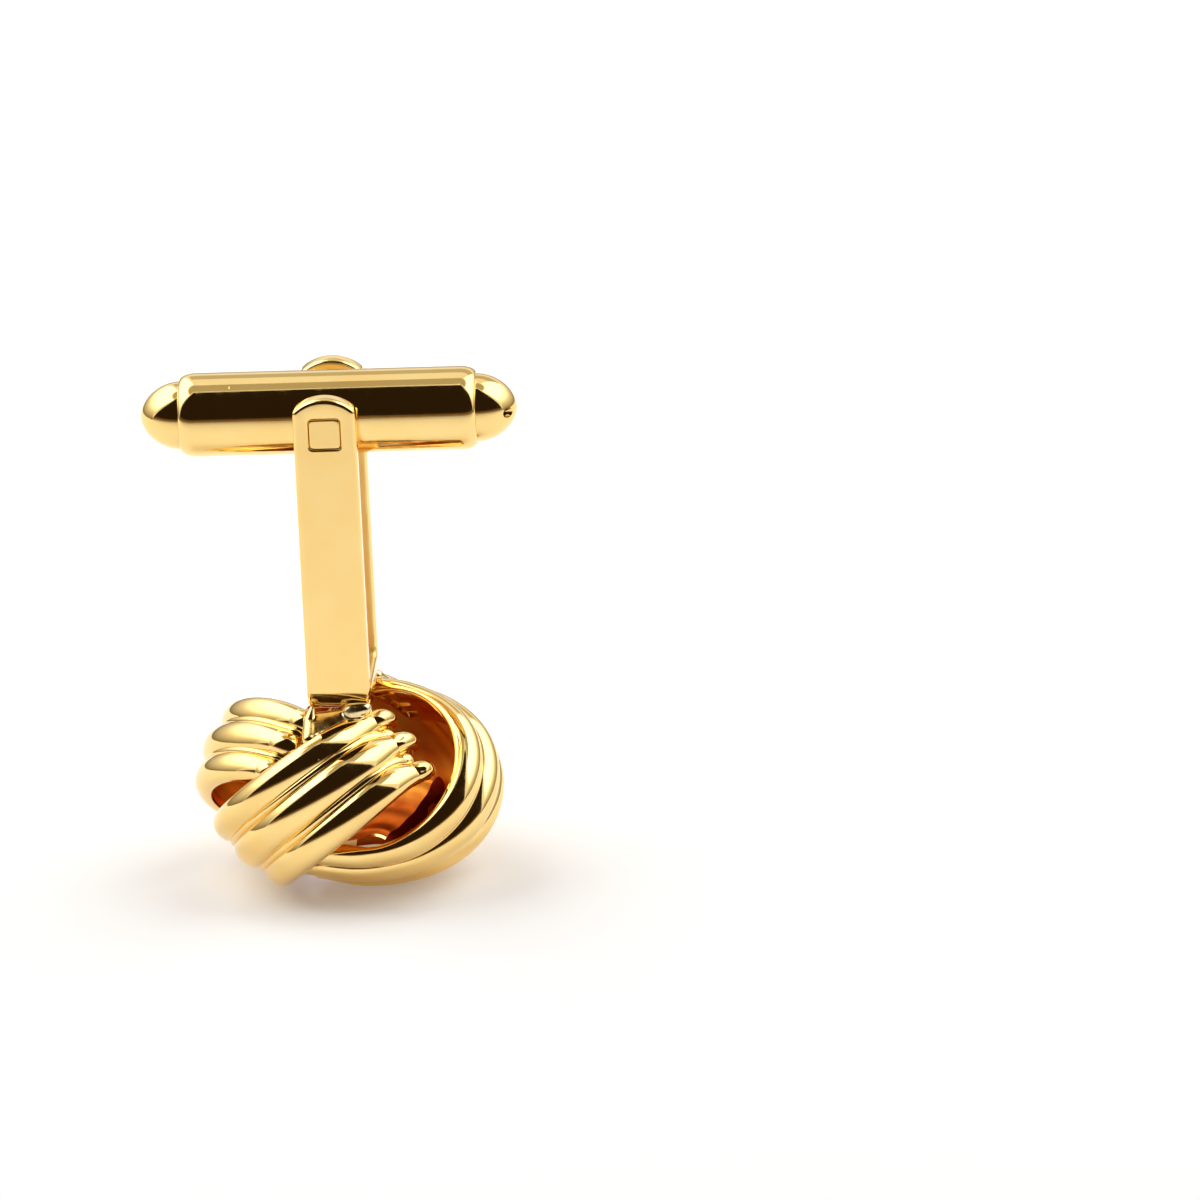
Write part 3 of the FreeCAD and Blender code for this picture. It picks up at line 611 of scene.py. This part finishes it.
def make_strip(name, number, turn_angle, face_angle, back_angle, curl_radius, valley_lift, unshaded_lip):
    """One strip: an outline extruded from its cut face end to its curled tips.
    Its inside takes the red gold with painted shade, except over an angle before the tips. So do its lips,
    unless they are unshaded, its cut face end, and its lower flank near the face end, where a neighbour
    covers it."""
    face, back = math.radians(face_angle), math.radians(back_angle)
    form = curl_radius, valley_lift
    stations = []
    for index in range(STRIP_STEPS):
        stations.append((-face + (back - TIP_PART + face) * index / STRIP_STEPS, 0))
    stations += [(back - TIP_PART * (1 - index / TIP_STEPS), 0) for index in range(TIP_STEPS + 1)]
    stations += [(back, CURL_ANGLE * (index + 1) / CURL_STEPS) for index in range(CURL_STEPS)]
    tapers = name == "strip_front"
    shaded_rows = len([along for along, _ in stations if along < back - BRIGHT_PART])
    covered_rows = len([along for along, _ in stations if along < COVERED_UNTIL])
    first_shaded, last_shaded = OUTER_POINTS - 1, OUTLINE_POINTS
    if unshaded_lip:
        first_shaded, last_shaded = first_shaded + LIP_POINTS, last_shaded - LIP_POINTS
    bm = bmesh.new()
    rank = bm.verts.layers.int.new("rank")
    row = bm.verts.layers.int.new("row")
    edges = capped_ring(bm, strip_section(*stations[0], 0, *form), rank)
    for number_along, (along, curl) in enumerate(stations[1:], 1):
        spots = strip_section(along, curl, tip_taper(along, curl, back) if tapers else 0, *form)
        grown = bmesh.ops.extrude_edge_only(bm, edges=edges)["geom"]
        edges = only_edges(grown)
        for vert in only_verts(grown):
            vert.co = spots[vert[rank]]
            vert[row] = number_along
    bmesh.ops.contextual_create(bm, geom=edges)
    bmesh.ops.recalc_face_normals(bm, faces=bm.faces)
    if tapers:
        press_tips(bm, rank, back, *form)
    bm.transform(Matrix.Translation(knot_middle) @ Matrix.Rotation(math.radians(turn_angle), 4, "Z"))
    for face in bm.faces:
        face.smooth = True
        ranks, rows = [vert[rank] for vert in face.verts], [vert[row] for vert in face.verts]
        inside = min(ranks) >= first_shaded and max(ranks) <= last_shaded and max(rows) <= shaded_rows
        covered = max(ranks) <= COVERED_POINTS and max(rows) <= covered_rows
        # Material 1 is the red gold with painted shade: the hollow's inside, the covered lower flank and the
        # cut face end.
        face.material_index = int(inside or covered or max(rows) == 0)
    mesh = mesh_from(bm, name)
    mesh.set_sharp_from_angle(angle=STRIP_CREASE)
    strip = new_object(name, mesh, knot_gold, red_gold_and_shade)
    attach(strip, "frame")
    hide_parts(f"knot_strip_{number}")
    return strip


for name, settings in STRIPS.items():
    strip = make_strip(name, *settings)
    print(strip.name, len(strip.data.polygons), "faces")

# %% [markdown]
# The frame is a strap, blanked with round ends, bent into a U and soldered to the knot's back. Half of the
# strap's section is extruded round the outline of an arm's end, which keeps its rounded edge even. The open
# end is then extruded down, spun through the bend and extruded to the middle, and a turned copy makes the
# other half. A buffing wheel can't reach between the arms, so the strap's inside keeps a satin finish.

# %% Strap
ARM_HALF_WIDTH, STRAP, ARM_HALF_GAP = 1.5 * MM, 1.0 * MM, 2.4 * MM
ARM_TOP, ARM_END_RADIUS, ARM_CORNER = 1.73 * MM, 2.1 * MM, 0.35 * MM
ARM_EDGE, EDGE_STEPS = 0.22 * MM, 6
BEND_RADIUS, BEND_STEPS = 0.45 * MM, 16
CORNER_STEPS, TOP_STEPS = 10, 28
MERGE = 0.0005 * MM
strap_low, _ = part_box("u_frame")
pin_low, pin_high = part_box("pivot_pin")
PIVOT = Vector((0, 0, (pin_low.z + pin_high.z) / 2))
BAR_UNDER = strap_low.z
print("pin axis at", round(PIVOT.z / MM, 4), "bar underside at", round(BAR_UNDER / MM, 4))


def arm_end_stations():
    """Points of an arm end's outline with their outward directions, from right to left over the top."""
    top_middle = Vector((0, ARM_TOP - ARM_END_RADIUS))
    corner_x = ARM_HALF_WIDTH - ARM_CORNER
    corner_z = top_middle.y + math.sqrt((ARM_END_RADIUS - ARM_CORNER) ** 2 - corner_x ** 2)
    meet = math.atan2(corner_z - top_middle.y, corner_x)
    arcs = (
        (Vector((corner_x, corner_z)), ARM_CORNER, 0, meet, CORNER_STEPS),
        (top_middle, ARM_END_RADIUS, meet, math.pi - meet, TOP_STEPS),
        (Vector((-corner_x, corner_z)), ARM_CORNER, math.pi - meet, math.pi, CORNER_STEPS),
    )
    stations = [(Vector((ARM_HALF_WIDTH, 0)), Vector((1, 0)))]
    for middle, radius, start, end, steps in arcs:
        for index in range(steps):
            angle = start + (end - start) * index / steps
            out = Vector((math.cos(angle), math.sin(angle)))
            stations.append((middle + out * radius, out))
    stations.append((Vector((-ARM_HALF_WIDTH, corner_z)), Vector((-1, 0))))
    stations.append((Vector((-ARM_HALF_WIDTH, 0)), Vector((-1, 0))))
    return stations


def arm_end_section(spot, out):
    """Half of the front arm's section at a point of its end's outline, from the pin's axis and back to it."""
    outer, inner = -ARM_HALF_GAP - STRAP, -ARM_HALF_GAP
    points = [Vector((0, outer, PIVOT.z))]
    for centre_y, start in ((outer + ARM_EDGE, -90), (inner - ARM_EDGE, 0)):
        for index in range(EDGE_STEPS + 1):
            angle = math.radians(start + 90 * index / EDGE_STEPS)
            place = spot + out * (ARM_EDGE * math.cos(angle) - ARM_EDGE)
            points.append(Vector((place.x, centre_y + ARM_EDGE * math.sin(angle), PIVOT.z + place.y)))
    points.append(Vector((0, inner, PIVOT.z)))
    return points


def level_edges(bm, axis, level):
    """Border edges whose two ends lie at one level."""
    border = [edge for edge in bm.edges if edge.is_boundary]
    return [edge for edge in border if all(abs(vert.co[axis] - level) < MERGE for vert in edge.verts)]


def extrude_to(bm, edges, axis, level):
    """Extrude an open border straight to a level of one axis."""
    grown = bmesh.ops.extrude_edge_only(bm, edges=edges)["geom"]
    for vert in only_verts(grown):
        vert.co[axis] = level
    return only_edges(grown)


bm = bmesh.new()
rank = bm.verts.layers.int.new("rank")
stations = arm_end_stations()
chain = []
for index, point in enumerate(arm_end_section(*stations[0])):
    vert = bm.verts.new(point)
    vert[rank] = index
    chain.append(vert)
border = [bm.edges.new(pair) for pair in zip(chain, chain[1:])]
for station in stations[1:]:
    points = arm_end_section(*station)
    grown = bmesh.ops.extrude_edge_only(bm, edges=border)["geom"]
    border = only_edges(grown)
    for vert in only_verts(grown):
        vert.co = points[vert[rank]]
bmesh.ops.remove_doubles(bm, verts=bm.verts, dist=MERGE)
bend_level = BAR_UNDER + STRAP + BEND_RADIUS
border = extrude_to(bm, level_edges(bm, 2, PIVOT.z), 2, bend_level)
bend_middle = Vector((0, -ARM_HALF_GAP + BEND_RADIUS, bend_level))
border_verts = list({vert for edge in border for vert in edge.verts})
bent = bmesh.ops.spin(bm, geom=border_verts + border, cent=bend_middle, axis=(1, 0, 0), angle=math.pi / 2,
                      steps=BEND_STEPS)
extrude_to(bm, only_edges(bent["geom_last"]), 1, 0)
copied = bmesh.ops.duplicate(bm, geom=bm.verts[:] + bm.edges[:] + bm.faces[:])["geom"]
bmesh.ops.rotate(bm, verts=only_verts(copied), cent=(0, 0, 0), matrix=Matrix.Rotation(math.pi, 3, "Z"))
bmesh.ops.remove_doubles(bm, verts=bm.verts, dist=MERGE)
bmesh.ops.recalc_face_normals(bm, faces=bm.faces)
print("strap", len(bm.faces), "faces, open edges", len([edge for edge in bm.edges if edge.is_boundary]))

# %% Pin holes
PIN_HOLE_HALF = 0.76 * MM
PIN_CORNER, PIN_CORNER_STEPS = 0.2 * MM, 6
HOLE_LENGTH, HOLE_CHAMFER, HOLE_CHAMFER_STEPS = 10 * MM, 0.11 * MM, 3
RIM_ANGLE, STRAP_CREASE = 1, math.radians(40)
INSIDE_SLACK = 0.02 * MM


def cut_with(bm, cutter_bm, name):
    """The shape of one bmesh with another cut out of it."""
    body = new_object(name, mesh_from(bm, name))
    cutter = new_object("cutter", mesh_from(cutter_bm, "cutter"))
    cut = body.modifiers.new("cut", "BOOLEAN")
    cut.object = cutter
    cut.operation = "DIFFERENCE"
    cut.solver = "EXACT"
    shaped = body.evaluated_get(bpy.context.evaluated_depsgraph_get())
    result = bmesh.new()
    result.from_mesh(shaped.to_mesh())
    shaped.to_mesh_clear()
    for used in (body, cutter):
        old_mesh = used.data
        bpy.data.objects.remove(used)
        bpy.data.meshes.remove(old_mesh)
    return result


hole = bmesh.new()
bmesh.ops.create_cube(hole, size=1)
bmesh.ops.scale(hole, verts=hole.verts, vec=(2 * PIN_HOLE_HALF, HOLE_LENGTH, 2 * PIN_HOLE_HALF))
long_edges = [edge for edge in hole.edges if abs(edge.verts[0].co.y - edge.verts[1].co.y) > MERGE]
bmesh.ops.bevel(hole, geom=long_edges, offset=PIN_CORNER, offset_type="OFFSET", affect="EDGES",
                segments=PIN_CORNER_STEPS, profile=0.5, material=-1)
bmesh.ops.translate(hole, verts=hole.verts, vec=PIVOT)
strap_bm = cut_with(bm, hole, "strap_cut")
outer_face = ARM_HALF_GAP + STRAP


def on_hole_rim(edge):
    """True for the edges where a square hole meets an arm's outer face."""
    for vert in edge.verts:
        if abs(abs(vert.co.y) - outer_face) > MERGE or abs(vert.co.x) > PIN_HOLE_HALF + MERGE:
            return False
        if abs(vert.co.z - PIVOT.z) > PIN_HOLE_HALF + MERGE:
            return False
    return abs(edge.calc_face_angle(0)) > RIM_ANGLE


rims = [edge for edge in strap_bm.edges if on_hole_rim(edge)]
bmesh.ops.bevel(strap_bm, geom=rims, offset=HOLE_CHAMFER, offset_type="OFFSET", affect="EDGES",
                segments=HOLE_CHAMFER_STEPS, profile=0.5, material=-1)
for face in strap_bm.faces:
    face.smooth = True
    middle = face.calc_center_median()
    inside = abs(middle.y) < ARM_HALF_GAP + INSIDE_SLACK and middle.z > BAR_UNDER + STRAP - INSIDE_SLACK
    face.material_index = int(inside)
strap_mesh = mesh_from(strap_bm, "frame_strap")
strap_mesh.set_sharp_from_angle(angle=STRAP_CREASE)
strap = new_object("frame_strap", strap_mesh, frame_gold, satin_gold)
even = strap.modifiers.new("even_normals", "WEIGHTED_NORMAL")
even.keep_sharp = True
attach(strap, "frame")
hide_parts("u_frame")
print("hole rim edges", len(rims), "strap faces", len(strap.data.polygons))

# %% [markdown]
# Hard solder holds the frame's foot on the knot. At the front and at the back it set in a sloping shelf
# between the bar and the strip beside it, and at the front there is also a round lump. Each run of solder is
# a chain of drops between two places, and a shelf is a row of such runs. Drops that overlap are remeshed into
# one skin and smoothed, as a liquid pulls itself together. The remesh has a least size, so a lump is made at
# one unit per millimetre and scaled down at the end.

# %% Solder
SHELF_RUNS, SHELF_RADIUS = 10, 0.36


def shelf(bar_left, bar_right, strip_left, strip_right):
    """Runs of solder from a line along the bar to a line along a strip, as two places and two radii each."""
    runs = []
    for index in range(SHELF_RUNS):
        share = index / (SHELF_RUNS - 1)
        start = Vector(bar_left).lerp(Vector(bar_right), share)
        end = Vector(strip_left).lerp(Vector(strip_right), share)
        runs.append((start, end, SHELF_RADIUS, SHELF_RADIUS))
    return runs


SOLDER_FRONT = shelf((-1.42, -3.10, 8.62), (0.85, -2.85, 8.80), (-1.42, -4.40, 8.12), (0.85, -3.15, 8.50))
SOLDER_FRONT.append((Vector((-1.30, -3.05, 9.20)), Vector((-1.42, -3.30, 8.70)), 0.16, 0.32))
SOLDER_FRONT.append((Vector((0.55, -2.98, 8.98)), Vector((1.12, -2.88, 9.05)), 0.48, 0.42))
SOLDER_BACK = shelf((0.95, 2.90, 8.62), (1.35, 2.90, 8.62), (1.35, 3.45, 7.75), (1.85, 3.50, 7.90))
CHAIN_DROPS, DROP_SUBDIVISIONS = 9, 3
SOLDER_VOXEL, SOLDER_SMOOTHING, SMOOTHING_SHARE = 0.04, 14, 0.5


def solder_lump(name, runs):
    """One lump from runs of solder, each given by two places and two radii in millimetres."""
    bm = bmesh.new()
    for start, end, first_radius, last_radius in runs:
        for index in range(CHAIN_DROPS):
            share = index / (CHAIN_DROPS - 1)
            radius = first_radius + (last_radius - first_radius) * share
            place = Matrix.Translation(start.lerp(end, share))
            bmesh.ops.create_icosphere(bm, subdivisions=DROP_SUBDIVISIONS, radius=radius, matrix=place)
    lump = new_object(name, mesh_from(bm, name))
    fuse = lump.modifiers.new("fuse", "REMESH")
    fuse.mode = "VOXEL"
    fuse.voxel_size = SOLDER_VOXEL
    shaped = lump.evaluated_get(bpy.context.evaluated_depsgraph_get())
    bm = bmesh.new()
    bm.from_mesh(shaped.to_mesh())
    shaped.to_mesh_clear()
    old_mesh = lump.data
    bpy.data.objects.remove(lump)
    bpy.data.meshes.remove(old_mesh)
    for _ in range(SOLDER_SMOOTHING):
        bmesh.ops.smooth_vert(bm, verts=bm.verts, factor=SMOOTHING_SHARE, use_axis_x=True, use_axis_y=True,
                              use_axis_z=True)
    bmesh.ops.scale(bm, verts=bm.verts, vec=(MM, MM, MM))
    bmesh.ops.recalc_face_normals(bm, faces=bm.faces)
    for face in bm.faces:
        face.smooth = True
    lump = new_object(name, mesh_from(bm, name), solder_gold)
    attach(lump, "frame")
    return lump


for name, runs in (("solder_front", SOLDER_FRONT), ("solder_back", SOLDER_BACK)):
    lump = solder_lump(name, runs)
    print(lump.name, len(lump.data.polygons), "faces")

# %% [markdown]
# The pin that carries the toggle is square where it is riveted into the arms, with rounded corners, and
# turned round between them. Its outline is extruded along Y through a few stations, which gives the step and
# the chamfers.

# %% Pin
PIN_HALF, PIN_JOURNAL, PIN_CHAMFER = 0.75 * MM, 0.85 * MM, 0.10 * MM
PIN_POINTS = 96
PIN_CREASE = math.radians(50)


def pin_outline(half, journal):
    """A rounded square of a half side, held within a circle."""
    points = []
    corner = PIN_CORNER
    for index in range(PIN_POINTS):
        angle = 2 * math.pi * (index + 0.5) / PIN_POINTS
        way = Vector((math.cos(angle), math.sin(angle)))
        reach = half / max(abs(way.x), abs(way.y))
        spot = way * reach
        straight = half - corner
        if abs(spot.x) > straight and abs(spot.y) > straight:
            middle = Vector((math.copysign(straight, spot.x), math.copysign(straight, spot.y)))
            along = way.dot(middle)
            spot = way * (along + math.sqrt(along ** 2 - middle.length_squared + corner ** 2))
        points.append(way * min(spot.length, journal))
    return points


# For each station: its place along Y, half the square's side, and the circle that the square is turned down
# to. In the arms nothing is turned, so a circle of any size round the square will do.
untouched = 2 * PIN_HALF
pin_stations = [(-outer_face, PIN_HALF - PIN_CHAMFER, untouched)]
pin_stations.append((-outer_face + PIN_CHAMFER, PIN_HALF, untouched))
pin_stations += [(-ARM_HALF_GAP, PIN_HALF, untouched), (-ARM_HALF_GAP, PIN_HALF, PIN_JOURNAL)]
pin_stations += [(-y, half, journal) for y, half, journal in reversed(pin_stations)]
bm = bmesh.new()
rank = bm.verts.layers.int.new("rank")
border = []
for y, half, journal in pin_stations:
    spots = [Vector((spot.x, y, PIVOT.z + spot.y)) for spot in pin_outline(half, journal)]
    if not border:
        border = capped_ring(bm, spots, rank)
        continue
    grown = bmesh.ops.extrude_edge_only(bm, edges=border)["geom"]
    border = only_edges(grown)
    for vert in only_verts(grown):
        vert.co = spots[vert[rank]]
bmesh.ops.contextual_create(bm, geom=border)
bmesh.ops.recalc_face_normals(bm, faces=bm.faces)
for face in bm.faces:
    face.smooth = True
pin_mesh = mesh_from(bm, "square_pin")
pin_mesh.set_sharp_from_angle(angle=PIN_CREASE)
pin = new_object("square_pin", pin_mesh, pin_gold)
even = pin.modifiers.new("even_normals", "WEIGHTED_NORMAL")
even.keep_sharp = True
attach(pin, "frame")
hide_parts("pivot_pin")
print("pin", len(pin.data.polygons), "faces")

# %% [markdown]
# The toggle is turned work: a tube with softly rounded shoulders and two domed caps, each with a small vent
# hole. A turned shape is a profile spun about its axis, which also gives mirror-true round metal.

# %% Barrel
BARREL_HALF, BARREL_RADIUS, BARREL_WALL = 7.1 * MM, 2.0 * MM, 0.6 * MM
SHOULDER_LENGTH, SHOULDER_DROP, SHOULDER_STEPS = 0.8 * MM, 0.38 * MM, 14
PIN_BORE, BORE_LENGTH, BORE_STEPS = 0.9 * MM, 8 * MM, 64
TURN_STEPS = 144
BARREL_CREASE = math.radians(30)


def spin_profile(points, closed):
    """A full turn of a profile about the toggle's axis, given as pairs of length and radius."""
    bm = bmesh.new()
    verts = [bm.verts.new((x, 0, PIVOT.z + radius)) for x, radius in points]
    pairs = list(zip(verts, verts[1:]))
    if closed:
        pairs.append((verts[-1], verts[0]))
    edges = [bm.edges.new(pair) for pair in pairs]
    bmesh.ops.spin(bm, geom=verts + edges, cent=PIVOT, axis=(1, 0, 0), angle=2 * math.pi, steps=TURN_STEPS,
                   use_merge=True)
    bmesh.ops.remove_doubles(bm, verts=bm.verts, dist=MERGE)
    bmesh.ops.recalc_face_normals(bm, faces=bm.faces)
    return bm


def finish_turned(bm, name, body, node, crease):
    """A turned piece with even normals that stands for its node."""
    for face in bm.faces:
        face.smooth = True
    mesh = mesh_from(bm, name)
    mesh.set_sharp_from_angle(angle=crease)
    piece = new_object(name, mesh, toggle_gold)
    even = piece.modifiers.new("even_normals", "WEIGHTED_NORMAL")
    even.keep_sharp = True
    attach(piece, body)
    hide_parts(node)
    return piece


profile = [(-BARREL_HALF, BARREL_RADIUS - BARREL_WALL)]
for side, order in ((-1, 1), (1, -1)):
    for index in range(SHOULDER_STEPS + 1)[::order]:
        angle = math.pi / 2 * index / SHOULDER_STEPS
        x = BARREL_HALF - SHOULDER_LENGTH + SHOULDER_LENGTH * math.cos(angle)
        profile.append((side * x, BARREL_RADIUS - SHOULDER_DROP + SHOULDER_DROP * math.sin(angle)))
profile.append((BARREL_HALF, BARREL_RADIUS - BARREL_WALL))
bore = bmesh.new()
bmesh.ops.create_cone(bore, cap_ends=True, segments=BORE_STEPS, radius1=PIN_BORE, radius2=PIN_BORE,
                      depth=BORE_LENGTH,
                      matrix=Matrix.Translation(PIVOT) @ Matrix.Rotation(math.pi / 2, 4, "X"))
bored = cut_with(spin_profile(profile, True), bore, "barrel_cut")
barrel = finish_turned(bored, "barrel", "toggle", "toggle_barrel", BARREL_CREASE)
print("barrel", len(barrel.data.polygons), "faces")

# %% Caps
DOME_LENGTH, DOME_RADIUS, DOME_POWER = 1.88 * MM, 1.625 * MM, 1.85
SPIGOT_LENGTH, SPIGOT_RADIUS = 1.2 * MM, 1.38 * MM
VENT_RADIUS, VENT_OFFSET, VENT_DEPTH, VENT_STEPS = 0.25 * MM, 0.88 * MM, 2.2 * MM, 32
DOME_STEPS = 36
CAP_CREASE = math.radians(40)


def dome_profile():
    """Half of a cap's profile: the spigot, its shoulder and the dome up to the axis."""
    profile = [(BARREL_HALF - SPIGOT_LENGTH, 0), (BARREL_HALF - SPIGOT_LENGTH, SPIGOT_RADIUS)]
    profile.append((BARREL_HALF, SPIGOT_RADIUS))
    for index in range(DOME_STEPS + 1):
        angle = math.pi / 2 * index / DOME_STEPS
        x = DOME_LENGTH * math.sin(angle) ** (2 / DOME_POWER)
        radius = DOME_RADIUS * math.cos(angle) ** (2 / DOME_POWER) if index < DOME_STEPS else 0
        profile.append((BARREL_HALF + x, radius))
    return profile


for side, word in ((-1, "left"), (1, "right")):
    bm = spin_profile([(side * x, radius) for x, radius in dome_profile()], False)
    vent = bmesh.new()
    place = PIVOT + Vector((side * (BARREL_HALF + DOME_LENGTH), -side * VENT_OFFSET, 0))
    bmesh.ops.create_cone(vent, cap_ends=True, segments=VENT_STEPS, radius1=VENT_RADIUS, radius2=VENT_RADIUS,
                          depth=VENT_DEPTH,
                          matrix=Matrix.Translation(place) @ Matrix.Rotation(math.pi / 2, 4, "Y"))
    vented = cut_with(bm, vent, "cap_cut")
    cap = finish_turned(vented, "cap_" + word, "toggle", "toggle_cap_" + word, CAP_CREASE)
    print(cap.name, len(cap.data.polygons), "faces")

# %% Pieces that stay as they are
for name, node in frame["nodes"].items():
    node.data.materials.clear()
    node.data.materials.append(spring_steel if "spring" in name else plunger_brass)
print("pistons and springs keep their solids")

# %% Sizes and finish
visual_low, visual_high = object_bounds()
sizes = {"cad": [list(cad_low), list(cad_high)], "visual": [list(visual_low), list(visual_high)]}
for word, corners in sizes.items():
    print(word, [[round(v / MM, 3) for v in corner] for corner in corners])
